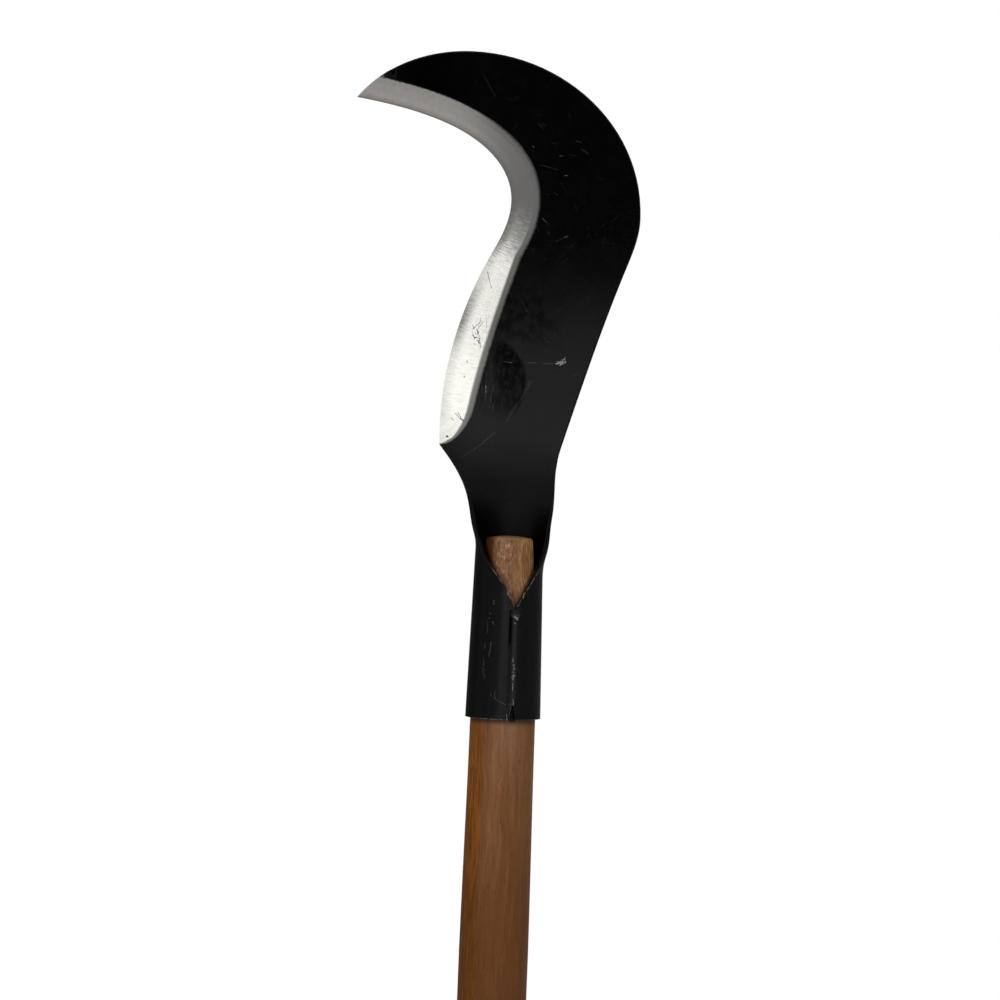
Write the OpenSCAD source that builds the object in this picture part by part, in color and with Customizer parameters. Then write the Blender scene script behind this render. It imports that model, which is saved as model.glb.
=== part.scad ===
// Billhook on a long pole. The hooked blade and its socket are one steel plate: flat at the
// blade, hollowed to a trough at the neck and rolled into a split cone round the pole.
// Lengths are in millimetres, angles in degrees. The butt of the pole stands on z = 0 with the
// pole's axis on Z; the blade's front faces -Y and the hook points to -X. Heights of the head are
// measured from the socket's mouth. Headings run from +X towards +Z, seen from the front.

/* [Pole] */
// length of the pole from its butt to the tip that shows in the trough
pole_len = 1000; // [800:10:1500]
// diameter of the straight shaft
pole_d = 36; // [34.5:0.5:40]
// diameter of the pole where it enters the socket
seat_d = 33.6; // [32:0.2:34.4]
// length over which the shaft narrows to the socket
shoulder_len = 120; // [60:10:200]
// length of the seat, which follows the socket's taper
seat_len = 45; // [30:1:54]
// height of the pole's tip above the mouth of the socket
tip_above = 94; // [88:1:108]
// diameter of the nose at its end
tip_d = 24; // [18:0.5:26]
// height of the shallow dome on the tip
tip_dome = 1.2; // [0.6:0.2:3]
// radius of the rounded edge of the butt
butt_round = 5; // [2:0.5:8]

/* [Socket] */
// thickness of the plate
plate_t = 2.5; // [2:0.1:3]
// clearance between the pole's seat and the socket
fit_gap = 0.2; // [0.15:0.05:0.4]
// diameter that the socket loses over 100 mm of its height
taper = 4.5; // [3:0.5:6]
// height of the closed socket, from the mouth to the foot of the V
socket_len = 57.5; // [55:0.5:66]
// angle from the front round to the seam
seam_turn = 14; // [0:1:20]
// gap between the plate's edges under the weld
seam_gap = 1.2; // [1:0.1:1.6]
// gap between the clipped corners of the seam at the mouth
mouth_gap = 4; // [2:0.5:6]
// height of the seam that stays open below the weld
seam_open = 7; // [6:1:14]

/* [Trough] */
// height at which the left wing starts to open
left_open = 87; // [82:1:98]
// height at which the right wing starts to open
right_open = 73; // [70:1:88]
// width of the flat blank left of the axis at its narrowest
left_waist = 23.6; // [22:0.2:29]
// height of the narrowest place on the left
left_waist_h = 110; // [106:1:120]
// width of the flat blank right of the axis at its narrowest
right_waist = 22.8; // [21:0.2:28]
// height of the narrowest place on the right
right_waist_h = 103; // [96:1:114]
// heading of the left rim at the foot of the V
left_rim_turn = 72; // [64:1:78]
// heading of the right rim at the foot of the V
right_rim_turn = 116; // [108:1:122]
// heading of the neck's left side where it reaches the heel
heel_in_turn = 128; // [112:1:134]
// length of flat plate between the end of the trough and the heel
flat_run = 6; // [3:1:12]

/* [Cutting edge] */
// height of the heel, where the trough has become the flat blade
heel_h = 140; // [136:1:150]
// distance of the heel to the left of the axis
heel_x = 38.5; // [34:0.5:44]
// heading of the edge as it leaves the heel
heel_turn = 93; // [86:1:98]
// distance to the left of the axis where the edge starts to curve into the hook
bend_x = 15; // [10:0.5:20]
// height where the edge starts to curve into the hook
bend_h = 241; // [236:1:250]
// heading of the edge there
bend_turn = 62; // [56:1:68]
// distance of the deepest point of the hook to the left of the axis
throat_x = 6; // [2:0.5:9]
// height of the deepest point of the hook
throat_h = 268; // [264:1:276]
// distance of the beak's middle to the left of the axis
beak_x = 39.5; // [34:0.5:46]
// height of the edge at the beak's middle
beak_h = 307; // [302:1:314]
// heading of the edge at the beak's middle
beak_turn = 157; // [150:1:164]
// distance of the point of the hook to the left of the axis
point_x = 88.5; // [80:0.5:100]
// height of the point of the hook
point_h = 319.5; // [314:0.5:326]
// heading of the edge at the point
point_turn = 171; // [164:1:178]

/* [Back of the blade] */
// distance of the blade's right side from the axis at the height of the heel
root_x = 24.8; // [22:0.2:30]
// heading of the right side there
root_turn = 73.5; // [68:0.5:80]
// distance to the right of the axis where the straight back ends
slope_x = 53.9; // [50:0.1:60]
// height where the straight back ends
slope_h = 231.5; // [226:0.5:240]
// heading of the straight back at its end
slope_turn = 70; // [66:1:76]
// greatest distance of the back to the right of the axis
back_x = 61.7; // [58:0.1:68]
// height of that place
back_h = 261.5; // [258:0.5:270]
// distance of the crown to the left of the axis
crown_x = 29.5; // [22:0.5:36]
// height of the crown, the top of the blade
crown_h = 345.7; // [342:0.1:356]
// heading of the back where it comes down to the point
back_point_turn = 231; // [224:0.5:240]

/* [Bevel] */
// width of the ground bevel near the heel
bevel_heel = 14.5; // [12:0.5:18]
// width of the bevel half way up the straight edge
bevel_belly = 20; // [14:0.5:21]
// width of the bevel where the edge starts to curve into the hook
bevel_bend = 15; // [12:0.5:18]
// width of the bevel in the hook
bevel_throat = 15.5; // [12:0.5:18]
// width of the bevel along the beak
bevel_beak = 13; // [10:0.5:15]
// length of edge over which the bevel rounds out of the heel
bevel_run = 20; // [12:1:30]
// width of the hollow shoulder where the grinding wheel ran out
shoulder_w = 3.5; // [2:0.5:5]
// depth of the hollow shoulder on each face
shoulder_t = 0.4; // [0.2:0.1:0.5]
// thickness left at the cutting edge
edge_t = 0.4; // [0.3:0.1:0.8]

/* [Weld] */
// width of the weld bead over the seam
bead_w = 3.6; // [3:0.2:5]
// height of the bead above the plate
bead_h = 1.5; // [1:0.1:1.8]
// diameter of the drop at the upper end of the bead, just below the foot of the V
drop_d = 5.4; // [4.5:0.1:6.5]
// clearance between the weld and the plate's faces
weld_gap = 0.1; // [0.05:0.05:0.15]

/* [Fixing screw] */
// height of the screw above the mouth, on the back of the socket
screw_h = 24; // [16:1:34]
// diameter of the screw's shank
screw_d = 4; // [3:0.5:5]
// length of the screw under its head
screw_len = 25; // [18:1:28]
// diameter of the screw's round head
screw_head_d = 8; // [7:0.5:9]
// height of the screw's head
screw_head_h = 3; // [2:0.5:3.5]
// clearance round the shank in the plate and the wood
screw_gap = 0.1; // [0.05:0.05:0.2]

/* [Hidden] */
$fn = 96;
eps = 0.02;
wrap_cols = 48;
blade_cols = 3;
rim_steps = 18;
neck_steps = 14;
blade_steps = [26, 10, 26, 20];
mouth_z = pole_len - tip_above;
seat_r = seat_d / 2;
half_t = plate_t / 2;
seam_rad = seam_turn * PI / 180;
slim = taper / 200;
flat_h = heel_h - flat_run;

// radius of the plate's middle layer at height h, as a straight-sided cone
function mid_r(h) = seat_r + fit_gap + half_t - h * slim;
// radius of the pole's seat at height h
function seat_at(h) = seat_r - h * slim;
function ease(t) = t <= 0 ? 0 : t >= 1 ? 1 : t * t * (3 - 2 * t);
function aim(turn) = [cos(turn), sin(turn)];

// distance of the plate's back line from the axis: the cone's slope dies out over the trough
function back_y(h) =
    let (span = flat_h - right_open, t = min(1, max(0, (h - right_open) / span)))
    mid_r(min(h, right_open)) - slim * span * (t - t * t / 2);

// a point of the flat blank, a across, h up and d behind its middle layer, rolled to its place
function rolled(a, h, d) =
    let (start = a < 0 ? left_open : right_open,
         bend = (1 - ease((h - start) / (flat_h - start))) / mid_r(h))
    bend < 1e-6 ? [a, back_y(h) + d, h] :
    let (turn = a * bend * 180 / PI)
    [(1 / bend + d) * sin(turn), back_y(h) - 1 / bend + (1 / bend + d) * cos(turn), h];

// handle of a curve as a share of its chord: equal turns at both ends give a circular arc
function handle(turn) =
    abs(turn) < 0.1 ? 1 / 3 : 2 / 3 * tan(abs(turn) / 4) / sin(abs(turn) / 2);

// the four control points of the curve between two stations, each [across, up, heading]
function control(p, q) =
    let (a = [p[0], p[1]], b = [q[0], q[1]], reach = norm(b - a) * handle(q[2] - p[2]))
    [a, a + reach * aim(p[2]), b - reach * aim(q[2]), b];

function on_curve(c, t) =
    pow(1 - t, 3) * c[0] + 3 * pow(1 - t, 2) * t * c[1]
    + 3 * (1 - t) * t * t * c[2] + pow(t, 3) * c[3];

function along_curve(c, t) =
    pow(1 - t, 2) * (c[1] - c[0]) + 2 * (1 - t) * t * (c[2] - c[1]) + t * t * (c[3] - c[2]);

// sides of the flat blank at height h of the closed socket
function seam_half(h) = (seam_gap + (mouth_gap - seam_gap) * max(0, 1 - h / (seam_open * 0.8))) / 2;
function seam_left(h) = [-mid_r(h) * (PI + seam_rad) + seam_half(h), h];
function seam_right(h) = [mid_r(h) * (PI - seam_rad) - seam_half(h), h];

// stations of the rims from the foot of the V to the blade
left_rim = [concat(seam_left(socket_len), left_rim_turn), [-left_waist, left_waist_h, 90],
    [-heel_x, heel_h, heel_in_turn]];
right_rim = [concat(seam_right(socket_len), right_rim_turn), [right_waist, right_waist_h, 90],
    [root_x, heel_h, root_turn]];

// stations of the cutting edge and of the back, in pairs from the heel to the point
edge = [[-heel_x, heel_h, heel_turn], [-bend_x, bend_h, bend_turn], [-throat_x, throat_h, 90],
    [-beak_x, beak_h, beak_turn], [-point_x, point_h, point_turn]];
back = [[root_x, heel_h, root_turn], [slope_x, slope_h, slope_turn], [back_x, back_h, 90],
    [-crown_x, crown_h, 180], [-point_x, point_h, back_point_turn]];
bevel = [bevel_heel, bevel_bend, bevel_throat, bevel_beak, bevel_beak];

// width of the bevel on stretch i at t, fuller half way up the straight edge
function bevel_at(i, t) =
    bevel[i] + (bevel[i + 1] - bevel[i]) * ease(t)
    + (i == 0 ? 4 * t * (1 - t) * (bevel_belly - (bevel_heel + bevel_bend) / 2) : 0);

// share of the full bevel: a quarter round out of the heel, then all of it
function ground(i, t) =
    let (run = norm([heel_x - bend_x, bend_h - heel_h]), c = min(1, t * run / bevel_run))
    i > 0 ? 1 : max(0.04, sqrt(1 - pow(1 - c, 2)));

// half the plate's thickness at distance d from the edge of a bevel of width w
function half_at(d, w, share) =
    let (foot = w - shoulder_w * share, low = half_t - shoulder_t, thin = edge_t / 2,
         cut = d >= w ? half_t : d > foot ? low + shoulder_t * (d - foot) / (w - foot)
            : thin + (low - thin) * d / foot)
    half_t - share * (half_t - cut);

// one rib of the blade from the edge to the back, as [x, half thickness, h]
function rib(i, t) =
    let (c = control(edge[i], edge[i + 1]), e = on_curve(c, t),
         s = on_curve(control(back[i], back[i + 1]), t),
         run = along_curve(c, t), inward = [run[1], -run[0]] / norm(run),
         way = (s - e) / norm(s - e), slant = max(0.5, way * inward),
         room = norm(s - e) * slant, share = ground(i, t), w = bevel_at(i, t) * share,
         spots = [0, min(w - shoulder_w * share, room * 0.8), min(w, room * 0.94), room])
    [for (d = spots) let (p = e + way * d / slant) [p[0], half_at(d, w, share), p[1]]];

// rows of blank points [a, h], across the socket, then across the trough
socket_rows = [for (h = [0, seam_open * 0.8, seam_open * 2, socket_len])
    [for (j = [0:wrap_cols]) let (f = j / wrap_cols) seam_left(h) * (1 - f) + seam_right(h) * f]];
trough_rows = [for (k = [0, 1]) let (n = k == 0 ? rim_steps : neck_steps,
        l = control(left_rim[k], left_rim[k + 1]), r = control(right_rim[k], right_rim[k + 1]))
    for (i = [(k == 0 ? 1 : 0):n - 1])
    [for (j = [0:wrap_cols]) let (f = j / wrap_cols)
        on_curve(l, i / n) * (1 - f) + on_curve(r, i / n) * f]];
plate_rows = concat(socket_rows, trough_rows);

// ribs of the blade, closer together where the bevel rounds out of the heel
ribs = [for (i = [0:3]) for (k = [0:blade_steps[i] - 1])
    rib(i, pow(k / blade_steps[i], i == 0 ? 1.5 : 1))];
blade_y = back_y(heel_h);

// both faces of the head row by row, front first, ending in the point of the hook
front_rows = concat([for (row = plate_rows) [for (p = row) rolled(p[0], p[1], -half_t)]],
    [for (r = ribs) [for (p = r) [p[0], blade_y - p[1], p[2]]]],
    [[[-point_x, blade_y - edge_t / 2, point_h]]]);
rear_rows = concat([for (row = plate_rows) [for (p = row) rolled(p[0], p[1], half_t)]],
    [for (r = ribs) [for (p = r) [p[0], blade_y + p[1], p[2]]]],
    [[[-point_x, blade_y + edge_t / 2, point_h]]]);

// number of points before row k of one face
wraps = len(plate_rows);
function before(k) =
    k <= wraps ? k * (wrap_cols + 1) : wraps * (wrap_cols + 1) + (k - wraps) * (blade_cols + 1);
function gaps(k) = k < wraps ? wrap_cols : k < wraps + len(ribs) ? blade_cols : 0;

// triangles between the row from point a with m gaps and the next row from point b with n gaps
function stitch(a, m, b, n, i = 0, j = 0) =
    i == m && j == n ? [] :
    j == n || (i < m && (i + 1) * n <= (j + 1) * m)
        ? concat([[a + i, b + j, a + i + 1]], stitch(a, m, b, n, i + 1, j))
        : concat([[a + i, b + j, b + j + 1]], stitch(a, m, b, n, i, j + 1));

module head_plate() {
    rows = wraps + len(ribs);
    rear = before(rows) + 1;
    front_faces = [for (k = [0:rows - 1])
        each stitch(before(k), gaps(k), before(k + 1), gaps(k + 1))];
    rear_faces = [for (f = front_faces) [f[0] + rear, f[2] + rear, f[1] + rear]];
    left_faces = [for (k = [0:rows - 1]) let (a = before(k), b = before(k + 1))
        [a, a + rear, b + rear, b]];
    right_faces = [for (k = [0:rows - 1])
        let (a = before(k) + gaps(k), b = before(k + 1) + gaps(k + 1))
        [a + rear, a, b, b + rear]];
    mouth_faces = [for (j = [0:wrap_cols - 1]) [j, j + 1, j + 1 + rear, j + rear]];
    polyhedron([for (row = front_rows) each row, for (row = rear_rows) each row],
        concat(front_faces, rear_faces, left_faces, right_faces, mouth_faces), convexity = 8);
}

// hooked blade, trough and socket, one plate with a hole for the screw
module blade_head() {
    color([0.08, 0.08, 0.085])
    translate([0, 0, mouth_z])
    difference() {
        head_plate();
        translate([0, 0, screw_h])
            rotate([-90, 0, 0])
            cylinder(r = screw_d / 2 + 2 * screw_gap, h = mid_r(0) + plate_t);
    }
}

// weld bead: a round bar along the seam, cut to the socket's outside, with a root in the gap
module seam_weld() {
    bar_r = (bead_w * bead_w / 4 + bead_h * bead_h) / (2 * bead_h);
    bead_len = socket_len - seam_open - drop_d * 0.6;
    lie = atan(slim);
    outer = mid_r(seam_open) + half_t;
    color([0.1, 0.1, 0.105])
    translate([0, 0, mouth_z + seam_open])
    rotate([0, 0, seam_turn])
    union() {
        difference() {
            union() {
                translate([0, -outer - bead_h + bar_r, 0])
                    rotate([-lie, 0, 0])
                    cylinder(r = bar_r, h = bead_len);
                translate([0, -outer + bead_len * slim, bead_len])
                    sphere(d = drop_d);
            }
            translate([0, 0, -10])
                cylinder(r1 = outer + weld_gap + 10 * slim,
                    r2 = outer + weld_gap - (bead_len + 10) * slim, h = bead_len + 20);
        }
        translate([0, -outer - bead_h / 2, 0])
            rotate([-lie, 0, 0])
            translate([-seam_gap / 2 + weld_gap, 0, 0.5])
            cube([seam_gap - 2 * weld_gap, bead_h / 2 + plate_t - 0.4, bead_len - 1]);
    }
}

// wooden pole: straight shaft with a rounded butt, narrowed to the socket and drawn to a nose
module pole() {
    shaft_r = pole_d / 2;
    dome_r = (tip_d * tip_d / 4 + tip_dome * tip_dome) / (2 * tip_dome);
    color([0.62, 0.4, 0.25])
    difference() {
        rotate_extrude()
            union() {
                polygon([[0, 0], [shaft_r - butt_round, 0], [shaft_r, butt_round],
                    [shaft_r, mouth_z - shoulder_len], [seat_r, mouth_z],
                    [seat_at(seat_len), mouth_z + seat_len],
                    [tip_d / 2, pole_len - tip_dome], [0, pole_len - tip_dome]]);
                intersection() {
                    translate([0, pole_len - dome_r])
                        circle(dome_r);
                    translate([0, pole_len - tip_dome - eps])
                        square([tip_d / 2, tip_dome + 1]);
                }
                intersection() {
                    translate([shaft_r - butt_round, butt_round])
                        circle(butt_round);
                    translate([shaft_r - butt_round, 0])
                        square(butt_round + 1);
                }
            }
        translate([0, seat_at(screw_h) + fit_gap + plate_t - screw_len - 1, mouth_z + screw_h])
            rotate([-90, 0, 0])
            cylinder(r = screw_d / 2 + screw_gap, h = screw_len + 1);
    }
}

// wood screw with a round head and a cross recess, driven in from the back of the socket
module fixing_screw() {
    dome_r = (screw_head_d * screw_head_d / 4 + screw_head_h * screw_head_h) / (2 * screw_head_h);
    recess = screw_head_d * 0.5;
    color([0.7, 0.7, 0.68])
    translate([0, mid_r(screw_h) + half_t + screw_gap, mouth_z + screw_h])
    rotate([-90, 0, 0])
    difference() {
        union() {
            intersection() {
                translate([0, 0, screw_head_h - dome_r])
                    sphere(r = dome_r);
                cylinder(d = screw_head_d, h = screw_head_h);
            }
            translate([0, 0, screw_d * 1.5 - screw_len])
                cylinder(d = screw_d, h = screw_len - screw_d * 1.5 + eps);
            translate([0, 0, -screw_len])
                cylinder(d1 = 0.6, d2 = screw_d, h = screw_d * 1.5);
        }
        for (turn = [0, 90])
            rotate([0, 0, turn + 45])
            translate([-recess / 2, -0.5, screw_head_h - 1.6])
            cube([recess, 1, 2]);
    }
}

blade_head();
seam_weld();
pole();
fixing_screw();
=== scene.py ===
import math

import bmesh
import bpy
from mathutils import Matrix, Vector, noise
from mathutils.geometry import intersect_point_line


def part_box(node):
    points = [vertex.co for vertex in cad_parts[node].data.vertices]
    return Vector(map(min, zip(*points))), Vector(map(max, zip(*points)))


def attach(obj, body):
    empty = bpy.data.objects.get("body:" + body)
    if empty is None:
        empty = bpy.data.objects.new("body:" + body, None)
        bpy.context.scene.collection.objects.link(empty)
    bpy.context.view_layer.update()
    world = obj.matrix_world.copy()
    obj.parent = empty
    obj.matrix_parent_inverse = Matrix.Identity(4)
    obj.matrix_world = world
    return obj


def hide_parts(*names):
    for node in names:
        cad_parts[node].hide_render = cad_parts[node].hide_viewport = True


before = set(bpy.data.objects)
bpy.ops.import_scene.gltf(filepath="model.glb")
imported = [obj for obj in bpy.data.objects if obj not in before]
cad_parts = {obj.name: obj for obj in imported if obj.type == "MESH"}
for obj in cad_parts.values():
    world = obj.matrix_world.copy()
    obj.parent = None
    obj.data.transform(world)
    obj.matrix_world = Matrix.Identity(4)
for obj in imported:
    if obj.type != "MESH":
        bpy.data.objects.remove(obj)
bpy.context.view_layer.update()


# The pole
# A metre of brown-stained hardwood that the hands hold. It is turned on a lathe: a straight shaft,
# a long ease down to the socket, a seat inside it and a blunt nose that shows above the V.
pole_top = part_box("pole")[1]
head_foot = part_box("blade_head")[0]
mouth_z = head_foot.z
shaft_r = pole_top.x
butt_round = 0.005
butt_steps = 6
ease_len = 0.120
seat_r = 0.0168
seat_len = 0.045
seat_top = mouth_z + seat_len
socket_slim = 0.0225
nose_r = 0.012
nose_dome = 0.0012
nose_edge = 0.0008
pole_sides = 96
pole_cuts = 36
long_edge = 0.03
sharp_angle = math.radians(35)
hand_wear = 0.00018
wear_clear = 0.004
wear_fade = 0.03
dent_scale = Vector((60, 60, 14))
# How far below the mouth the ochre side, the darker shaft, the painted sheen and the painted shadow
# under the socket reach.
ochre_len = 0.05
dark_from = 0.02
dark_to = 0.12
sheen_len = 0.045
mouth_shadow_len = 0.0040
seam_paint_and_shade_low = mouth_z - 0.0017
seam_paint_and_shade_top = mouth_z + 0.055

stain_deep = (0.145, 0.054, 0.0165, 1)
stain_pale = (0.212, 0.089, 0.035, 1)
stain_red = (0.158, 0.055, 0.016, 1)
ochre_deep = (0.150, 0.041, 0.0028, 1)
ochre_pale = (0.255, 0.085, 0.0075, 1)
dusky_brown = (0.190, 0.080, 0.028, 1)
shaft_brown = (0.098, 0.032, 0.0045, 1)
sheen_brown = (0.215, 0.112, 0.060, 1)
nose_deep = (0.130, 0.055, 0.024, 1)
nose_pale = (0.242, 0.119, 0.060, 1)
nose_tan = (0.215, 0.104, 0.038, 1)
nose_gold = (0.42, 0.235, 0.083, 1)
nose_rim_highlight_pale = (0.33, 0.21, 0.13, 1)
fleck_pale = (0.44, 0.265, 0.155, 1)
fleck_dark = (0.118, 0.047, 0.020, 1)
burnt_and_shaded_orange = (0.052, 0.0115, 0.0007, 1)
pore_brown = (0.050, 0.018, 0.006, 1)
mouth_shadow_brown = (0.020, 0.011, 0.006, 1)
seam_black = (0.0025, 0.0025, 0.0025, 1)


def add_piece(name, mesh_work, materials, body, node):
    """Makes an object of a finished bmesh, rides it on its body and puts it in place of its CAD node."""
    mesh = bpy.data.meshes.new(name)
    mesh_work.to_mesh(mesh)
    mesh_work.free()
    for material in materials:
        mesh.materials.append(material)
    piece = bpy.data.objects.new(name, mesh)
    bpy.context.scene.collection.objects.link(piece)
    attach(piece, body)
    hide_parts(node)
    return piece


def shader_node(tree, kind, inputs=None, **settings):
    """Adds a shader node; each input takes a value or the socket of another node."""
    made = tree.nodes.new("ShaderNode" + kind)
    for name, value in settings.items():
        setattr(made, name, value)
    for name, value in (inputs or {}).items():
        if isinstance(value, bpy.types.NodeSocket):
            tree.links.new(value, made.inputs[name])
        else:
            made.inputs[name].default_value = value
    return made


def split(tree, vector):
    """The three parts of a place or a direction."""
    parts = shader_node(tree, "SeparateXYZ", {"Vector": vector}).outputs
    return parts["X"], parts["Y"], parts["Z"]


def join(tree, x=0.0, y=0.0, z=0.0):
    """A place or a colour made of three parts."""
    return shader_node(tree, "CombineXYZ", {"X": x, "Y": y, "Z": z}).outputs[0]


def calc(tree, operation, a, b=0.0):
    """One sum on two values."""
    return shader_node(tree, "Math", {0: a, 1: b}, operation=operation).outputs[0]


def plus(tree, value, *parts):
    """Adds values together."""
    for part in parts:
        value = calc(tree, "ADD", value, part)
    return value


def times(tree, mask, *parts):
    """Multiplies masks together, so that each one limits the others."""
    for part in parts:
        mask = calc(tree, "MULTIPLY", mask, part)
    return mask


def most(tree, mask, *others):
    """The strongest of several masks."""
    for other in others:
        mask = calc(tree, "MAXIMUM", mask, other)
    return mask


def below(tree, value, limit):
    """A hard mask: 1 where the value is less than the limit."""
    return calc(tree, "LESS_THAN", value, limit)


def apart(tree, value, middle):
    """How far a value lies from a middle one, on either side of it."""
    return calc(tree, "ABSOLUTE", calc(tree, "SUBTRACT", value, middle))


def fade(tree, value, low, high, at_low=0.0, at_high=1.0):
    """Runs smoothly from one value to another while the input goes from low to high."""
    given = {"Value": value, "From Min": low, "From Max": high, "To Min": at_low, "To Max": at_high}
    return shader_node(tree, "MapRange", given, interpolation_type="SMOOTHSTEP").outputs["Result"]


def mix(tree, mask, a, b, blend_type="MIX"):
    """Lays colour b over colour a where the mask is 1."""
    made = shader_node(tree, "Mix", data_type="RGBA", blend_type=blend_type)
    for index, value in ((0, mask), (6, a), (7, b)):
        if isinstance(value, bpy.types.NodeSocket):
            tree.links.new(value, made.inputs[index])
        else:
            made.inputs[index].default_value = value
    return made.outputs[2]


def grain(tree, place, size, detail=3.0, roughness=0.55, shift=(0.0, 0.0, 0.0)):
    """Noise whose blotches measure about size, in metres along each axis."""
    scale = [1.0 / length for length in size]
    laid = shader_node(tree, "Mapping", {"Vector": place, "Scale": scale, "Location": shift})
    given = {"Vector": laid.outputs[0], "Scale": 1.0, "Detail": detail, "Roughness": roughness}
    return shader_node(tree, "TexNoise", given).outputs["Fac"]


def new_finish(name, roughness=0.5, specular=0.5):
    """A material with its shader, and the place on the piece that its patterns read."""
    material = bpy.data.materials.new(name)
    material.use_nodes = True
    tree = material.node_tree
    shader = tree.nodes["Principled BSDF"]
    shader.inputs["Roughness"].default_value = roughness
    shader.inputs["Specular IOR Level"].default_value = specular
    place = shader_node(tree, "TexCoord").outputs["Object"]
    return material, tree, shader, place


def connect(tree, shader, **sockets):
    """Feeds the shader's inputs, named with _ for a space, from other nodes."""
    for name, socket in sockets.items():
        tree.links.new(socket, shader.inputs[name.replace("_", " ")])


def relief(tree, height, depth, strength=1.0):
    """A surface normal bumped by a height of 0 to 1 that stands for a depth in metres."""
    given = {"Height": height, "Distance": depth, "Strength": strength}
    return shader_node(tree, "Bump", given).outputs["Normal"]


def shaft_tint(tree, place, swayed, fibre):
    """Stain on the shaft: streaks, an ochre left side, darker downwards, and a paler painted sheen on
    the front below the socket.
    """
    x, y, z = split(tree, place)
    front = fade(tree, y, 0.006, 0.0)
    streaks = grain(tree, swayed, (0.0042, 0.0042, 0.09), detail=2.0, shift=(0.0, 5.0, 2.0))
    patches = grain(tree, place, (0.012, 0.012, 0.03), detail=3.0, shift=(9.0, 0.0, 4.0))
    tint = mix(tree, fade(tree, streaks, 0.32, 0.68), stain_deep, stain_pale)
    tint = mix(tree, fade(tree, patches, 0.35, 0.7, 0.0, 0.45), tint, stain_red)
    side = plus(tree, x, times(tree, streaks, 0.005))
    ochre = times(tree, fade(tree, side, -0.0058, -0.0085), front,
                  fade(tree, z, mouth_z, mouth_z - ochre_len, 0.55, 0.95))
    tint = mix(tree, ochre, tint, mix(tree, fade(tree, fibre, 0.35, 0.65), ochre_deep, ochre_pale))
    dusky = times(tree, fade(tree, side, 0.0095, 0.0135), front, 0.7)
    tint = mix(tree, dusky, tint, dusky_brown)
    lower = fade(tree, z, mouth_z - dark_from, mouth_z - dark_to, 0.0, 0.72)
    tint = mix(tree, lower, tint, shaft_brown)
    # A paler patch on the front just below the socket is a painted sheen.
    wear_and_sheen = times(tree, fade(tree, z, mouth_z - sheen_len, mouth_z - 0.002),
                 fade(tree, apart(tree, x, 0.002), 0.012, 0.003),
                 fade(tree, patches, 0.3, 0.6, 0.3, 0.7))
    return mix(tree, wear_and_sheen, tint, sheen_brown)


def nose_tint(tree, place, swayed):
    """Bare wood on the nose: wavy grain, flecks on the left half, gold fibres on the right and a painted
    highlight along the top rim.
    """
    x, _, z = split(tree, place)
    left_half = fade(tree, x, 0.004, -0.001)
    right_half = fade(tree, x, 0.003, 0.008)
    waves = grain(tree, swayed, (0.0008, 0.0008, 0.0042), detail=4.0, roughness=0.6,
                  shift=(1.0, 2.0, 0.0))
    flecks = grain(tree, place, (0.0014, 0.0014, 0.0019), detail=3.0, roughness=0.6,
                   shift=(2.0, 6.0, 3.0))
    gold = grain(tree, swayed, (0.0008, 0.0008, 0.016), detail=2.0, shift=(7.0, 3.0, 1.0))
    tint = mix(tree, fade(tree, waves, 0.36, 0.58), nose_deep, nose_pale)
    tint = mix(tree, times(tree, fade(tree, flecks, 0.55, 0.67, 0.0, 0.75), left_half), tint, fleck_pale)
    tint = mix(tree, times(tree, fade(tree, flecks, 0.43, 0.33, 0.0, 0.8), left_half), tint, fleck_dark)
    tint = mix(tree, times(tree, right_half, 0.5), tint, nose_tan)
    tint = mix(tree, times(tree, right_half, fade(tree, gold, 0.51, 0.61, 0.0, 0.9)), tint, nose_gold)
    # A painted highlight: a pale line along the nose's top rim.
    nose_rim_highlight = times(tree, fade(tree, z, pole_top.z - 0.0022, pole_top.z - 0.0014),
                fade(tree, calc(tree, "ABSOLUTE", x), 0.008, 0.004, 0.0, 0.45))
    return mix(tree, nose_rim_highlight, tint, nose_rim_highlight_pale)


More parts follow.
